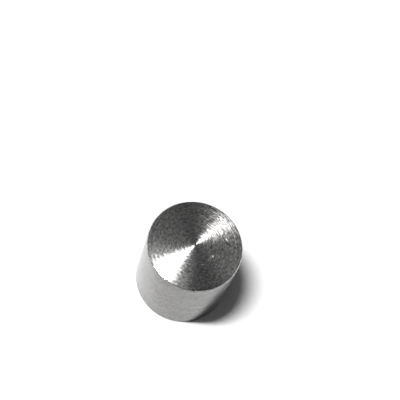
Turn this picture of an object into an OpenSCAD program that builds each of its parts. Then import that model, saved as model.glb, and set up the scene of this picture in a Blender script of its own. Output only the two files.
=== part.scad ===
// Glue-in end cap: a plain cup turned from stainless steel bar, its closed end slightly domed.
// It stands on its open rim, with the closed face on top. Z is the turning axis, and
// z = 0 is the plane of the rim. All sizes are in millimetres.

/* [Cap] */
// Length over all, from the open rim to the middle of the closed face
cap_len = 7.05; // [4:0.05:12]
// How much lower the closed face lies at its edge than in its middle
face_crown = 0.25; // [0.05:0.05:0.5]
// Thickness of the end wall at the edge of the closed face
end_wall = 1.0; // [0.6:0.1:2]
// Edge broken round the closed face, measured along the side
face_chamfer = 0.06; // [0.04:0.02:0.3]
// Edge broken round the outside of the open rim
rim_chamfer = 0.08; // [0.02:0.02:0.12]

/* [Bore] */
// Diameter of the blind bore
bore_d = 6.2; // [3:0.1:10]
// Thickness of the wall round the bore
wall = 0.4; // [0.3:0.05:1]
// Lead-in broken round the mouth of the bore
mouth_chamfer = 0.1; // [0.02:0.02:0.12]
// Radius that the boring tool leaves in the bottom corner of the bore
corner_r = 0.25; // [0.1:0.05:0.6]

/* [Centre mark] */
// Width of the small pit where the facing cut ends on the axis
pit_d = 0.26; // [0.1:0.02:0.5]
// Depth of the pit
pit_depth = 0.1; // [0.02:0.02:0.2]

/* [Hidden] */
$fn = 128;
bore_r = bore_d / 2;
cap_r = bore_r + wall;
edge_height = cap_len - face_crown;
bore_depth = edge_height - end_wall;
// Radius of the sphere that the closed face is part of
crown_r = (cap_r * cap_r + face_crown * face_crown) / (2 * face_crown);
pit_r = pit_d / 2;
// Each cut starts this far outside the surface that it opens
clear = 1;

// Half section of the bar: both outer edges are broken, and the arc cuts off the top
module bar_section() {
    intersection() {
        polygon([
            [0, 0],
            [cap_r - rim_chamfer, 0],
            [cap_r, rim_chamfer],
            [cap_r, edge_height - face_chamfer],
            [cap_r - face_chamfer - clear, edge_height + clear],
            [0, edge_height + clear]
        ]);
        translate([0, cap_len - crown_r]) circle(r = crown_r, $fn = 1024);
    }
}

// Half section of the bore: straight wall, rounded bottom corner and flat bottom
module bore_section() {
    translate([0, -clear]) square([bore_r, clear + bore_depth - corner_r]);
    square([bore_r - corner_r, bore_depth]);
    translate([bore_r - corner_r, bore_depth - corner_r]) circle(r = corner_r);
}

// Half section of the lead-in: a cone that widens the mouth of the bore
module mouth_section() {
    polygon([
        [0, -clear],
        [bore_r + mouth_chamfer + clear, -clear],
        [bore_r, mouth_chamfer],
        [0, mouth_chamfer]
    ]);
}

// Half section of the pit: a shallow cone at the centre of the closed face
module pit_section() {
    polygon([
        [0, cap_len - pit_depth],
        [pit_r, cap_len],
        [pit_r, cap_len + clear],
        [0, cap_len + clear]
    ]);
}

// The cap: one solid, turned, faced, drilled and bored from the bar
module end_cap() {
    color("silver")
        difference() {
            rotate_extrude() bar_section();
            rotate_extrude() bore_section();
            rotate_extrude() mouth_section();
            rotate_extrude() pit_section();
        }
}

end_cap();
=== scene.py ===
# The looks of a cord end cap: a small plain cup turned from stainless steel bar, standing on its open rim with the
# closed face up. Everything is in metres, and Z is the turning axis.
import math

import bpy
import numpy as np
from mathutils import Matrix, Vector


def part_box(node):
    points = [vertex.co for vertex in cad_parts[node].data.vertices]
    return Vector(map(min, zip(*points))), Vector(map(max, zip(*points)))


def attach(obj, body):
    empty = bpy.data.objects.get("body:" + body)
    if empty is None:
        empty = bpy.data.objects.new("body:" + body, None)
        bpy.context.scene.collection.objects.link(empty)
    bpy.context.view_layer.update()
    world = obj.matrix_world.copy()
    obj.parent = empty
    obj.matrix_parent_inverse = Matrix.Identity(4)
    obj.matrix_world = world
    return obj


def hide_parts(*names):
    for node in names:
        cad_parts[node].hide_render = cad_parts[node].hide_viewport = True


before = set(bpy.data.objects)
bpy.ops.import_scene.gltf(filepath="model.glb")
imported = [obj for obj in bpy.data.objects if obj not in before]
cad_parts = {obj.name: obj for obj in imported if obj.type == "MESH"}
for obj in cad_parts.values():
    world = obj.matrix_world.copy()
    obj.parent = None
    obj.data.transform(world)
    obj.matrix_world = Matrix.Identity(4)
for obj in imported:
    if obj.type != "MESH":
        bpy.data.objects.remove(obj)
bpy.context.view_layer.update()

MM = 0.001

# The cap. One piece of stainless steel bar, turned, faced, drilled and bored, with every edge lightly broken. The
# tool leaves fine rings on the face and round the side, and coarser ones in the bore, where the boring bar is
# thinner. It replaces the plain solid, and has the same sizes.
_, far_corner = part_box("end_cap")
CAP_R = far_corner.x
CAP_LEN = far_corner.z
BORE_R = 3.1 * MM
END_WALL = 1.0 * MM
CROWN = 0.25 * MM  # how far the face falls from its middle to its edge
CROWN_R = (CAP_R ** 2 + CROWN ** 2) / (2 * CROWN)  # of the sphere that the face is part of
EDGE_HEIGHT = CAP_LEN - CROWN
BORE_TOP = EDGE_HEIGHT - END_WALL
FACE_EDGE = 0.06 * MM  # the chamfers round the face, the rim and the bore's mouth
RIM_EDGE = 0.08 * MM
MOUTH_EDGE = 0.1 * MM
BORE_CORNER = 0.25 * MM  # radius that the boring tool leaves in the bottom corner
PIT_R = 0.13 * MM  # the pit where the facing cut ends on the axis
PIT_DEPTH = 0.1 * MM
EDGE_BLEND = 0.02 * MM  # radius of what tumbling leaves on a chamfer's two corners
SIDES = 192  # of the turned surface, round the axis
# Grooves round the face, where the tool dwelt near its edge: share of the radius, half width, depth
GROOVES = [
    (0.957, 0.05 * MM, 0.003 * MM),
    (0.89, 0.05 * MM, 0.0015 * MM),
]
# Dents and a scratch from handling: distance from the axis as a share of the radius, degrees of the turn, half length,
# half width, degrees of the turn that the long axis points to, depth
DENTS = [
    (0.425, 344.5, 0.21 * MM, 0.19 * MM, 150, 0.031 * MM),
    (0.448, 308.9, 0.10 * MM, 0.10 * MM, 0, 0.018 * MM),
    (0.549, 354.5, 0.10 * MM, 0.10 * MM, 0, 0.018 * MM),
    (0.68, 31.5, 0.36 * MM, 0.13 * MM, 150, 0.018 * MM),
    (0.985, 291.0, 0.10 * MM, 0.08 * MM, 291, 0.030 * MM),
]
UV_MAP = "OFBake"  # the UV map, whose U runs across the turning rings and sets the tangent


def stretch(start, end, pitch=None, depth=0.0, samples=4, seed=0):
    """Points along a straight stretch of the half section, from start up to but not including end. With a pitch it
    is turned: ring k is cut below the line by depth x a random share x (1 - cos(2 pi s / pitch)) / 2, and the cut
    fades to nothing over the first and last ring. The left of the direction of travel is outside the steel."""
    start, end = np.array(start), np.array(end)
    length = np.linalg.norm(end - start)
    along = (end - start) / length
    outside = np.array([-along[1], along[0]])
    rings = 0 if pitch is None else max(2, round(length / pitch))
    count = max(1, rings * samples)
    s = np.arange(count) / count
    points = start + np.outer(s * length, along)
    if rings:
        share = np.random.default_rng(seed).uniform(0.25, 1.0, rings)
        ring = np.minimum((s * rings).astype(int), rings - 1)
        fade = np.clip(np.minimum(s, 1 - s) * rings, 0, 1)
        cut = depth * share[ring] * fade * (1 - np.cos(2 * np.pi * s * rings)) / 2
        points -= np.outer(cut, outside)
    return points


def corner(at, before, after, radius, count=4):
    """Points of an arc that blends a corner of the half section: it leaves the line from before towards at, turns
    with the given radius, and joins the line from at towards after. Returns the points, first and last on the
    lines."""
    at, before, after = np.array(at), np.array(before), np.array(after)
    a = (before - at) / np.linalg.norm(before - at)
    b = (after - at) / np.linalg.norm(after - at)
    half = math.acos(np.clip(a @ b, -1, 1)) / 2
    reach = radius / math.tan(half)
    centre = at + (a + b) / np.linalg.norm(a + b) * radius / math.sin(half)
    first, last = at + a * reach - centre, at + b * reach - centre
    t = np.linspace(0, 1, count)[:, None]
    sweep = math.pi - 2 * half
    return centre + (np.sin((1 - t) * sweep) * first + np.sin(t * sweep) * last) / math.sin(sweep)


def half_section():
    """The cap's half section as rows of (radius, height), from the middle of the closed face, out over the face,
    down the side, over the rim, up the bore and in along its bottom to the axis. It is drawn with a flat face at
    the height of its edge, which is then raised to the sphere."""
    corners = [
        # radius, height, blend radius, then the turning of the stretch that leads there: ring pitch, ring depth
        (0.0, EDGE_HEIGHT - PIT_DEPTH, 0.0, None, 0.0),
        (PIT_R, EDGE_HEIGHT, EDGE_BLEND, None, 0.0),
        (CAP_R - FACE_EDGE, EDGE_HEIGHT, EDGE_BLEND, 0.11 * MM, 0.0022 * MM),
        (CAP_R, EDGE_HEIGHT - FACE_EDGE, EDGE_BLEND, None, 0.0),
        (CAP_R, RIM_EDGE, EDGE_BLEND, 0.14 * MM, 0.0022 * MM),
        (CAP_R - RIM_EDGE, 0.0, EDGE_BLEND, None, 0.0),
        (BORE_R + MOUTH_EDGE, 0.0, EDGE_BLEND, 0.06 * MM, 0.001 * MM),
        (BORE_R, MOUTH_EDGE, EDGE_BLEND, None, 0.0),
        (BORE_R, BORE_TOP, BORE_CORNER, 0.25 * MM, 0.006 * MM),
        (0.0, BORE_TOP, 0.0, 0.25 * MM, 0.006 * MM),
    ]
    arcs = [np.array([corners[0][:2]])]
    for before, here, after in zip(corners, corners[1:], corners[2:]):
        count = 12 if here[2] == BORE_CORNER else 4
        arcs.append(corner(here[:2], before[:2], after[:2], here[2], count))
    arcs.append(np.array([corners[-1][:2]]))
    rows = [arcs[0]]
    for number, (arc, to) in enumerate(zip(arcs[1:], corners[1:])):
        line = stretch(rows[-1][-1], arc[0], to[3], to[4], seed=number)
        rows += [line[1:], arc]
    rows = np.concatenate(rows)
    radius, height = rows.T
    on_face = height > BORE_TOP + END_WALL / 2
    for away, half_width, depth in GROOVES:
        d = (radius - away * CAP_R) / half_width
        height -= np.where(on_face, depth * np.clip(1 - d ** 2, 0, 1) ** 2, 0)
    lift = np.sqrt(CROWN_R ** 2 - radius ** 2) - (CROWN_R - CROWN)
    height += np.where(on_face, lift, 0)
    return rows


def lathe(name, section, sides):
    """A surface of revolution round Z: each row (radius, height) of the section becomes a ring of points at equal
    angles, and its first and last row, which lie on the axis, one point each. The UV map has U along the section
    and V round the axis, each from 0 to 1 by length and by angle, so U's direction is across the turning rings."""
    ring = section[1:-1]
    turn = np.arange(sides) / sides
    angle = 2 * np.pi * turn
    xy = np.stack([np.cos(angle), np.sin(angle)], 1)
    body = np.empty((len(ring), sides, 3))
    body[:, :, :2] = ring[:, None, :1] * xy
    body[:, :, 2] = ring[:, None, 1]
    verts = np.concatenate([[[0, 0, section[0, 1]]], body.reshape(-1, 3), [[0, 0, section[-1, 1]]]])

    step = np.linalg.norm(np.diff(section, axis=0), axis=1)
    u = np.concatenate([[0], np.cumsum(step)]) / step.sum()
    k = np.arange(sides)
    following = (k + 1) % sides
    i = np.arange(len(ring) - 1)[:, None]
    corner_at = 1 + i * sides
    quads = np.stack([corner_at + k, corner_at + sides + k, corner_at + sides + following, corner_at + following], 2)
    last_ring = 1 + (len(ring) - 1) * sides
    fans = np.concatenate([
        np.stack([np.zeros(sides, int), 1 + k, 1 + following], 1),
        np.stack([np.full(sides, len(verts) - 1), last_ring + following, last_ring + k], 1),
    ])
    loops = np.concatenate([quads.reshape(-1), fans.reshape(-1)])
    starts = np.concatenate([np.arange(quads.size // 4) * 4, quads.size + np.arange(len(fans)) * 3])

    v0, v1 = turn, turn + 1 / sides
    u0, u1 = (np.broadcast_to(x[:, None], (len(ring) - 1, sides)) for x in (u[1:-2], u[2:-1]))
    v0s, v1s = (np.broadcast_to(x, (len(ring) - 1, sides)) for x in (v0, v1))
    quad_uv = np.stack([np.stack(c, 2) for c in ((u0, v0s), (u1, v0s), (u1, v1s), (u0, v1s))], 2)
    mid = (v0 + v1) / 2
    near, far = np.full(sides, u[1]), np.full(sides, u[-2])
    fan_uv = np.concatenate([
        np.stack([np.stack(c, 1) for c in ((np.full(sides, u[0]), mid), (near, v0), (near, v1))], 1),
        np.stack([np.stack(c, 1) for c in ((np.full(sides, u[-1]), mid), (far, v1), (far, v0))], 1),
    ])

    mesh = bpy.data.meshes.new(name)
    mesh.vertices.add(len(verts))
    mesh.vertices.foreach_set("co", verts.ravel())
    mesh.loops.add(len(loops))
    mesh.loops.foreach_set("vertex_index", loops)
    mesh.polygons.add(len(starts))
    mesh.polygons.foreach_set("loop_start", starts)
    mesh.polygons.foreach_set("use_smooth", np.ones(len(starts), bool))
    uv_map = mesh.uv_layers.new(name=UV_MAP)
    uv_map.data.foreach_set("uv", np.concatenate([quad_uv.reshape(-1), fan_uv.reshape(-1)]))
    mesh.update(calc_edges=True)
    mesh.validate()
    piece = bpy.data.objects.new(name, mesh)
    bpy.context.scene.collection.objects.link(piece)
    return piece


def dent_the_face(piece):
    """Presses each dent into the closed face. A dent is an oval. With d as a point's distance from its middle, in
    half lengths along its long axis and in half widths across it, the point goes down by depth x (1 - d^2)^2."""
    points = np.empty(len(piece.data.vertices) * 3)
    piece.data.vertices.foreach_get("co", points)
    points = points.reshape(-1, 3)
    on_face = points[:, 2] > EDGE_HEIGHT - FACE_EDGE
    for away, turn, half_length, half_width, lie, depth in DENTS:
        turn, lie = math.radians(turn), math.radians(lie)
        offset = points[:, :2] - away * CAP_R * np.array([math.cos(turn), math.sin(turn)])
        along = offset @ np.array([math.cos(lie), math.sin(lie)]) / half_length
        across = offset @ np.array([-math.sin(lie), math.cos(lie)]) / half_width
        points[:, 2] -= np.where(on_face, depth * np.clip(1 - along ** 2 - across ** 2, 0, 1) ** 2, 0)
    piece.data.vertices.foreach_set("co", points.ravel())


def linear(hex_code):
    """An sRGB hex colour as linear RGBA."""
    parts = [int(hex_code[i:i + 2], 16) / 255 for i in (1, 3, 5)]
    return [c / 12.92 if c <= 0.04045 else ((c + 0.055) / 1.055) ** 2.4 for c in parts] + [1.0]


def add(tree, kind, settings=None, **inputs):
    """Adds a node. Settings are its own properties. An input named by its label, or by in0, in1 and so on for its
    place, is a value, or the output socket that feeds it."""
    node = tree.nodes.new(kind)
    for key, value in (settings or {}).items():
        setattr(node, key, value)
    for key, value in inputs.items():
        place = key[2:] if key.startswith("in") and key[2:].isdigit() else None
        socket = node.inputs[int(place)] if place else node.inputs[key.replace("_", " ")]
        if isinstance(value, bpy.types.NodeSocket):
            tree.links.new(value, socket)
        else:
            socket.default_value = value
    return node


# Stainless steel, turned and left as it comes off the lathe. The rings scatter light across themselves and hardly
# along themselves, which draws the highlight out into a bright wedge on each side of the face's middle.
FACE_PALE = "#D8D7D6"
FACE_DARK = "#999897"
SIDE_PALE = "#999897"
SIDE_DARK = "#605F5E"
PIT_PAINTED_SHADE = "#3A3937"  # painted shade: a dark colour in the pit at the middle of the face, standing for the shade that the pit holds
FACE_ROUGHNESS = 0.188
SIDE_ROUGHNESS = 0.13
EDGE_ROUGHNESS = 0.12
EDGE_FROM = 0.05 * MM  # how far before the face's chamfer the finish begins to turn into the edge's, and has turned
EDGE_TO = 0.01 * MM
# Where the cut ran rougher or finer on the face: share of the radius, multiple of the roughness
BANDS = [
    (0.0, 1.0), (0.83, 1.0), (0.86, 1.18), (0.88, 0.94), (0.92, 0.92), (0.938, 1.02), (0.955, 0.92), (1.0, 1.0),
]
ACROSS_THE_RINGS = 0.92  # 1 would scatter light across the rings only
FINE_RING = 0.045 * MM  # feed of the finishing cut
FINE_LENGTH = 6.0 * MM
FINE_DEPTH = 0.0005 * MM
STREAK_RING = 0.1 * MM  # a streak is a short stretch of a ring or two where the tool chattered
STREAK_LENGTH = 0.3 * MM
STREAK_SHIFT = 75.0  # picks one pattern of streaks
STREAK_MORE = 0.35  # share by which a streak is rougher
STREAK_EDGE = 0.1  # half the step in the noise over which a streak begins
CHATTER_DEPTH = 0.002 * MM
WANDER = math.radians(4)  # how far a mark wanders off its ring
WANDER_EDGE = 0.1
GRAIN_RING = 0.16 * MM  # a grain is a short stretch of a ring that is brighter or duller, drawn large enough to show
GRAIN_LENGTH = 0.2 * MM
LINE_RING = 0.07 * MM  # a line is a long one
LINE_LENGTH = 3.0 * MM
DULL = 0.35  # noise below which the steel has its dark colour
BRIGHT = 0.65  # noise above which it has its pale one
SIDE_GRAIN = 0.42  # share of grain on the side, where the rest is lines


def turned_steel():
    """Stainless steel with turning rings. Radius - height runs across the rings on the face, on the side and in the
    bore alike, and the place across the axis runs round them without a seam."""
    material = bpy.data.materials.new("turned stainless steel")
    material.use_nodes = True
    tree = material.node_tree
    tree.nodes.clear()
    place = add(tree, "ShaderNodeTexCoord").outputs["Object"]
    axes = add(tree, "ShaderNodeSeparateXYZ", in0=place)
    flat = add(tree, "ShaderNodeCombineXYZ", X=axes.outputs["X"], Y=axes.outputs["Y"]).outputs[0]
    radius = add(tree, "ShaderNodeVectorMath", {"operation": "LENGTH"}, in0=flat).outputs["Value"]
    across = add(tree, "ShaderNodeMath", {"operation": "SUBTRACT"}, in0=radius, in1=axes.outputs["Z"]).outputs[0]

    def ring_noise(pitch, length, detail, shift=0.0):
        """Noise whose cells are pitch wide across the rings and length long round them. Another shift gives another
        pattern of the same kind."""
        height = add(tree, "ShaderNodeMath", {"operation": "MULTIPLY_ADD"}, in0=across, in1=1 / pitch,
                     in2=shift).outputs[0]
        lift = add(tree, "ShaderNodeCombineXYZ", Z=height).outputs[0]
        round_it = add(tree, "ShaderNodeVectorMath", {"operation": "SCALE"}, in0=flat, Scale=1 / length).outputs[0]
        where = add(tree, "ShaderNodeVectorMath", {"operation": "ADD"}, in0=round_it, in1=lift).outputs[0]
        return add(tree, "ShaderNodeTexNoise", Vector=where, Scale=1.0, Detail=detail, Roughness=0.55).outputs[0]

    fine = ring_noise(FINE_RING, FINE_LENGTH, 1.0)
    streaks = ring_noise(STREAK_RING, STREAK_LENGTH, 3.0, STREAK_SHIFT)
    wandering = ring_noise(STREAK_RING, STREAK_LENGTH, 3.0, STREAK_SHIFT + 50)
    grain = ring_noise(GRAIN_RING, GRAIN_LENGTH, 2.0, STREAK_SHIFT + 100)
    lines = ring_noise(LINE_RING, LINE_LENGTH, 2.0, STREAK_SHIFT + 150)
    on_the_face = add(tree, "ShaderNodeMath", {"operation": "GREATER_THAN"}, in0=axes.outputs["Z"],
                      in1=EDGE_HEIGHT - FACE_EDGE).outputs[0]
    reach = add(tree, "ShaderNodeMath", {"operation": "ADD"}, in0=radius, in1=axes.outputs["Z"]).outputs[0]
    edge_reach = CAP_R + EDGE_HEIGHT - FACE_EDGE
    on_the_edge = add(tree, "ShaderNodeMapRange", in0=reach, in1=edge_reach - EDGE_FROM,
                      in2=edge_reach - EDGE_TO).outputs[0]
    turned = add(tree, "ShaderNodeMapRange", in0=on_the_face, in3=SIDE_ROUGHNESS, in4=FACE_ROUGHNESS).outputs[0]
    base = add(tree, "ShaderNodeMix", in0=on_the_edge, in2=turned, in3=EDGE_ROUGHNESS).outputs[0]
    change = add(tree, "ShaderNodeMapRange", in0=streaks, in1=0.5 - STREAK_EDGE, in2=0.5 + STREAK_EDGE, in3=1.0,
                 in4=1 + STREAK_MORE).outputs[0]
    share = add(tree, "ShaderNodeMath", {"operation": "DIVIDE"}, in0=radius, in1=CAP_R).outputs[0]
    bands = add(tree, "ShaderNodeFloatCurve", Value=share)
    curve = bands.mapping.curves[0]
    for (away, times), point in zip(BANDS, [*curve.points] + [None] * len(BANDS)):
        point = point or curve.points.new(away, times - 0.5)
        point.location = (away, times - 0.5)
        point.handle_type = "VECTOR"
    bands.mapping.update()
    band = add(tree, "ShaderNodeMapRange", in0=bands.outputs[0], in3=0.5, in4=1.5).outputs[0]
    banded = add(tree, "ShaderNodeMix", in0=on_the_face, in2=1.0, in3=band).outputs[0]
    streaked = add(tree, "ShaderNodeMath", {"operation": "MULTIPLY"}, in0=base, in1=change).outputs[0]
    finish = add(tree, "ShaderNodeMath", {"operation": "MULTIPLY"}, in0=streaked, in1=banded).outputs[0]
    mixed = add(tree, "ShaderNodeMix", in0=SIDE_GRAIN, in2=lines, in3=grain).outputs[0]
    side_tone = add(tree, "ShaderNodeMapRange", in0=mixed, in1=DULL, in2=BRIGHT).outputs[0]
    face_tone = add(tree, "ShaderNodeMapRange", in0=grain, in1=DULL, in2=BRIGHT).outputs[0]
    colour = {"data_type": "RGBA"}
    side = add(tree, "ShaderNodeMix", colour, Factor=side_tone, A=linear(SIDE_DARK), B=linear(SIDE_PALE)).outputs[2]
    unshaded_face = add(tree, "ShaderNodeMix", colour, Factor=face_tone, A=linear(FACE_DARK), B=linear(FACE_PALE)).outputs[2]
    # Painted shade: inside the pit the face takes the pit's dark colour, standing for the shade that falls in the pit.
    pit_shade_mask = add(tree, "ShaderNodeMapRange", in0=radius, in1=PIT_R / 2, in2=PIT_R, in3=1.0, in4=0.0).outputs[0]
    face = add(tree, "ShaderNodeMix", colour, Factor=pit_shade_mask, A=unshaded_face, B=linear(PIT_PAINTED_SHADE)).outputs[2]
    tone = add(tree, "ShaderNodeMix", colour, Factor=on_the_face, A=side, B=face).outputs[2]
    square = add(tree, "ShaderNodeNewGeometry").outputs["Normal"]
    chattered = add(tree, "ShaderNodeBump", Strength=1.0, Distance=CHATTER_DEPTH, Height=streaks).outputs[0]
    normal = add(tree, "ShaderNodeBump", Strength=1.0, Distance=FINE_DEPTH, Height=fine, Normal=chattered).outputs[0]
    straight = add(tree, "ShaderNodeTangent", {"direction_type": "UV_MAP", "uv_map": UV_MAP}).outputs[0]
    swing = add(tree, "ShaderNodeMapRange", in0=wandering, in1=0.5 - WANDER_EDGE, in2=0.5 + WANDER_EDGE, in3=-WANDER,
                in4=WANDER).outputs[0]
    tangent = add(tree, "ShaderNodeVectorRotate", Vector=straight, Axis=square, Angle=swing).outputs[0]
    steel = add(tree, "ShaderNodeBsdfPrincipled", Base_Color=tone, Metallic=1.0, Roughness=finish,
                Anisotropic=ACROSS_THE_RINGS, Tangent=tangent, Normal=normal)
    add(tree, "ShaderNodeOutputMaterial", Surface=steel.outputs[0])
    return material


cap = lathe("end_cap_turned", half_section(), SIDES)
dent_the_face(cap)
cap.data.materials.append(turned_steel())
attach(cap, "root")
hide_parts("end_cap")

# The floor. A plain white sheet, lit until it is white in the picture.
FLOOR_HALF = 1.5
PAPER = "#9B9B9B"
floor_mesh = bpy.data.meshes.new("floor")
floor_mesh.from_pydata(
    [(x * FLOOR_HALF, y * FLOOR_HALF, 0) for x, y in ((-1, -1), (1, -1), (1, 1), (-1, 1))], [], [(0, 1, 2, 3)]
)
floor = bpy.data.objects.new("floor", floor_mesh)
bpy.context.scene.collection.objects.link(floor)
paper = bpy.data.materials.new("white paper")
paper.use_nodes = True
paper.node_tree.nodes["Principled BSDF"].inputs["Base Color"].default_value = linear(PAPER)
paper.node_tree.nodes["Principled BSDF"].inputs["Roughness"].default_value = 0.9
floor_mesh.materials.append(paper)

# The light. One long oval softbox high on the left of the picture, in a dark room with a grey ceiling, a pale card in
# front and pale walls at the sides. What the camera sees past the floor is white, as the floor is.
LIGHT_HEIGHT = math.radians(72.6)
LIGHT_TURN = math.radians(200.5)  # from +X, anticlockwise seen from above
LIGHT_DISTANCE = 0.5
LIGHT_ACROSS = math.radians(2.0)  # half the angles that the softbox fills, seen from the cap
LIGHT_ALONG = math.radians(8.8)
LIGHT_WATTS = 7.8
lamp = bpy.data.lights.new("softbox", "AREA")
lamp.shape = "ELLIPSE"
lamp.size = 2 * LIGHT_DISTANCE * math.tan(LIGHT_ACROSS)
lamp.size_y = 2 * LIGHT_DISTANCE * math.tan(LIGHT_ALONG)
lamp.energy = LIGHT_WATTS
softbox = bpy.data.objects.new("softbox", lamp)
bpy.context.scene.collection.objects.link(softbox)
towards_light = Vector((
    math.cos(LIGHT_TURN) * math.cos(LIGHT_HEIGHT),
    math.sin(LIGHT_TURN) * math.cos(LIGHT_HEIGHT),
    math.sin(LIGHT_HEIGHT),
))
softbox.location = towards_light * LIGHT_DISTANCE
softbox.rotation_mode = "QUATERNION"
softbox.rotation_quaternion = towards_light.to_track_quat("Z", "Y")

# The cap's side throws some of the softbox's light down beside it, which the renderer drops. A narrow spot stands in.
POOL_AT = Vector((-4.8 * MM, -1.2 * MM, 0))
POOL_R = 5.0 * MM
POOL_FROM = Vector((-0.1, 0.0, 0.15))
POOL_WATTS = 1.2
spot = bpy.data.lights.new("spot", "SPOT")
spot.spot_size = 2 * math.atan(POOL_R / (POOL_FROM - POOL_AT).length)
spot.spot_blend = 1.0
spot.energy = POOL_WATTS
spot.shadow_soft_size = 0.0005
pool = bpy.data.objects.new("spot", spot)
bpy.context.scene.collection.objects.link(pool)
pool.location = POOL_FROM
pool.rotation_mode = "QUATERNION"
pool.rotation_quaternion = (POOL_FROM - POOL_AT).to_track_quat("Z", "Y")

# The room, as grey seen from the cap. X, Y and rise are the parts of a direction, so rise is 1 straight up.
CEILING = 0.113
WALLS = 0.02
CEILING_FROM = 0.5  # rise at which the dark walls begin to turn to ceiling
CEILING_TO = 0.85
CEILING_FRONT = -0.05  # Y at which the ceiling begins, and is whole
CEILING_BACK = 0.2
GLOW = 1.0  # of the ceiling round the softbox
GLOW_REACH = math.radians(26)
CARD = 0.5  # a pale card that stands round the front
CARD_FROM = 0.4  # rise at which it begins to end, and has ended
CARD_TO = 0.55
CARD_FRONT = 0.2  # the same for Y
CARD_BACK = 0.5
RIGHT_WALL = 0.7  # pale walls on both sides, behind the cap
LEFT_WALL = 0.4
WALL_FROM = 0.3  # X, either way, at which they begin, and are whole
WALL_TO = 0.6
WALL_FRONT = 0.08  # the same for Y
WALL_BACK = 0.14
world = bpy.data.worlds.new("room")
world.use_nodes = True
room = world.node_tree
room.nodes.clear()
direction = add(room, "ShaderNodeTexCoord").outputs["Generated"]
towards = add(room, "ShaderNodeSeparateXYZ", in0=direction)
rise = towards.outputs["Z"]
grey = add(room, "ShaderNodeMapRange", {"interpolation_type": "SMOOTHSTEP"}, in0=rise, in1=CEILING_FROM,
           in2=CEILING_TO, in3=WALLS, in4=CEILING).outputs[0]
above = add(room, "ShaderNodeMapRange", in0=towards.outputs["Y"], in1=CEILING_FRONT, in2=CEILING_BACK).outputs[0]
grey = add(room, "ShaderNodeMath", {"operation": "MULTIPLY"}, in0=grey, in1=above).outputs[0]
beneath = add(room, "ShaderNodeMapRange", in0=rise, in1=CARD_FROM, in2=CARD_TO, in3=CARD, in4=0.0).outputs[0]
front = add(room, "ShaderNodeMapRange", in0=towards.outputs["Y"], in1=CARD_FRONT, in2=CARD_BACK, in3=1.0,
            in4=0.0).outputs[0]
card = add(room, "ShaderNodeMath", {"operation": "MULTIPLY"}, in0=beneath, in1=front).outputs[0]
grey = add(room, "ShaderNodeMath", {"operation": "ADD"}, in0=grey, in1=card).outputs[0]
right = add(room, "ShaderNodeMapRange", in0=towards.outputs["X"], in1=WALL_FROM, in2=WALL_TO, in3=0.0,
            in4=RIGHT_WALL).outputs[0]
left = add(room, "ShaderNodeMapRange", in0=towards.outputs["X"], in1=-WALL_FROM, in2=-WALL_TO, in3=0.0,
           in4=LEFT_WALL).outputs[0]
sides = add(room, "ShaderNodeMath", {"operation": "ADD"}, in0=right, in1=left).outputs[0]
behind = add(room, "ShaderNodeMapRange", in0=towards.outputs["Y"], in1=WALL_FRONT, in2=WALL_BACK).outputs[0]
wall = add(room, "ShaderNodeMath", {"operation": "MULTIPLY"}, in0=sides, in1=behind).outputs[0]
grey = add(room, "ShaderNodeMath", {"operation": "ADD"}, in0=grey, in1=wall).outputs[0]
nearness = add(room, "ShaderNodeVectorMath", {"operation": "DOT_PRODUCT"}, in0=direction,
               in1=towards_light).outputs["Value"]
glow = add(room, "ShaderNodeMapRange", in0=nearness, in1=math.cos(GLOW_REACH), in2=1.0, in3=0.0, in4=GLOW).outputs[0]
grey = add(room, "ShaderNodeMath", {"operation": "ADD"}, in0=grey, in1=glow).outputs[0]
seen = add(room, "ShaderNodeLightPath").outputs["Is Camera Ray"]
shown = add(room, "ShaderNodeMix", in0=seen, in2=grey, in3=1.0).outputs[0]
backdrop = add(room, "ShaderNodeBackground", Color=(1, 1, 1, 1), Strength=shown)
add(room, "ShaderNodeOutputWorld", Surface=backdrop.outputs[0])
bpy.context.scene.world = world
bpy.context.scene.view_settings.view_transform = "Standard"

# The camera, at the photograph's viewing angle. The cap stands off the middle of the picture and leans in it, so
# the camera is rolled, and turned until the middle of the open rim falls on its place in the 400 x 400 picture.
PICTURE = 400
RIM_MIDDLE_PX = (180.95, 278.4)  # from the picture's left and top edges
FOCAL_PX = 1226.5
CAMERA_HEIGHT = math.radians(67.95)
CAMERA_ROLL = math.radians(23.65)
CAMERA_DISTANCE = 27 * CAP_R
lens = bpy.data.cameras.new("camera")
lens.sensor_width = 36
lens.lens = FOCAL_PX / PICTURE * lens.sensor_width
lens.clip_start = 0.005
lens.clip_end = 10
camera = bpy.data.objects.new("camera", lens)
bpy.context.scene.collection.objects.link(camera)
back = Vector((0, -math.cos(CAMERA_HEIGHT), math.sin(CAMERA_HEIGHT)))
aimed = back.to_track_quat("Z", "Y").to_matrix() @ Matrix.Rotation(CAMERA_ROLL, 3, "Z")
to_rim = Vector((RIM_MIDDLE_PX[0] - PICTURE / 2, PICTURE / 2 - RIM_MIDDLE_PX[1], -FOCAL_PX))
swing = to_rim.rotation_difference(Vector((0, 0, -1))).to_matrix()
camera.matrix_world = Matrix.Translation(back * CAMERA_DISTANCE) @ (aimed @ swing).to_4x4()
bpy.context.scene.camera = camera
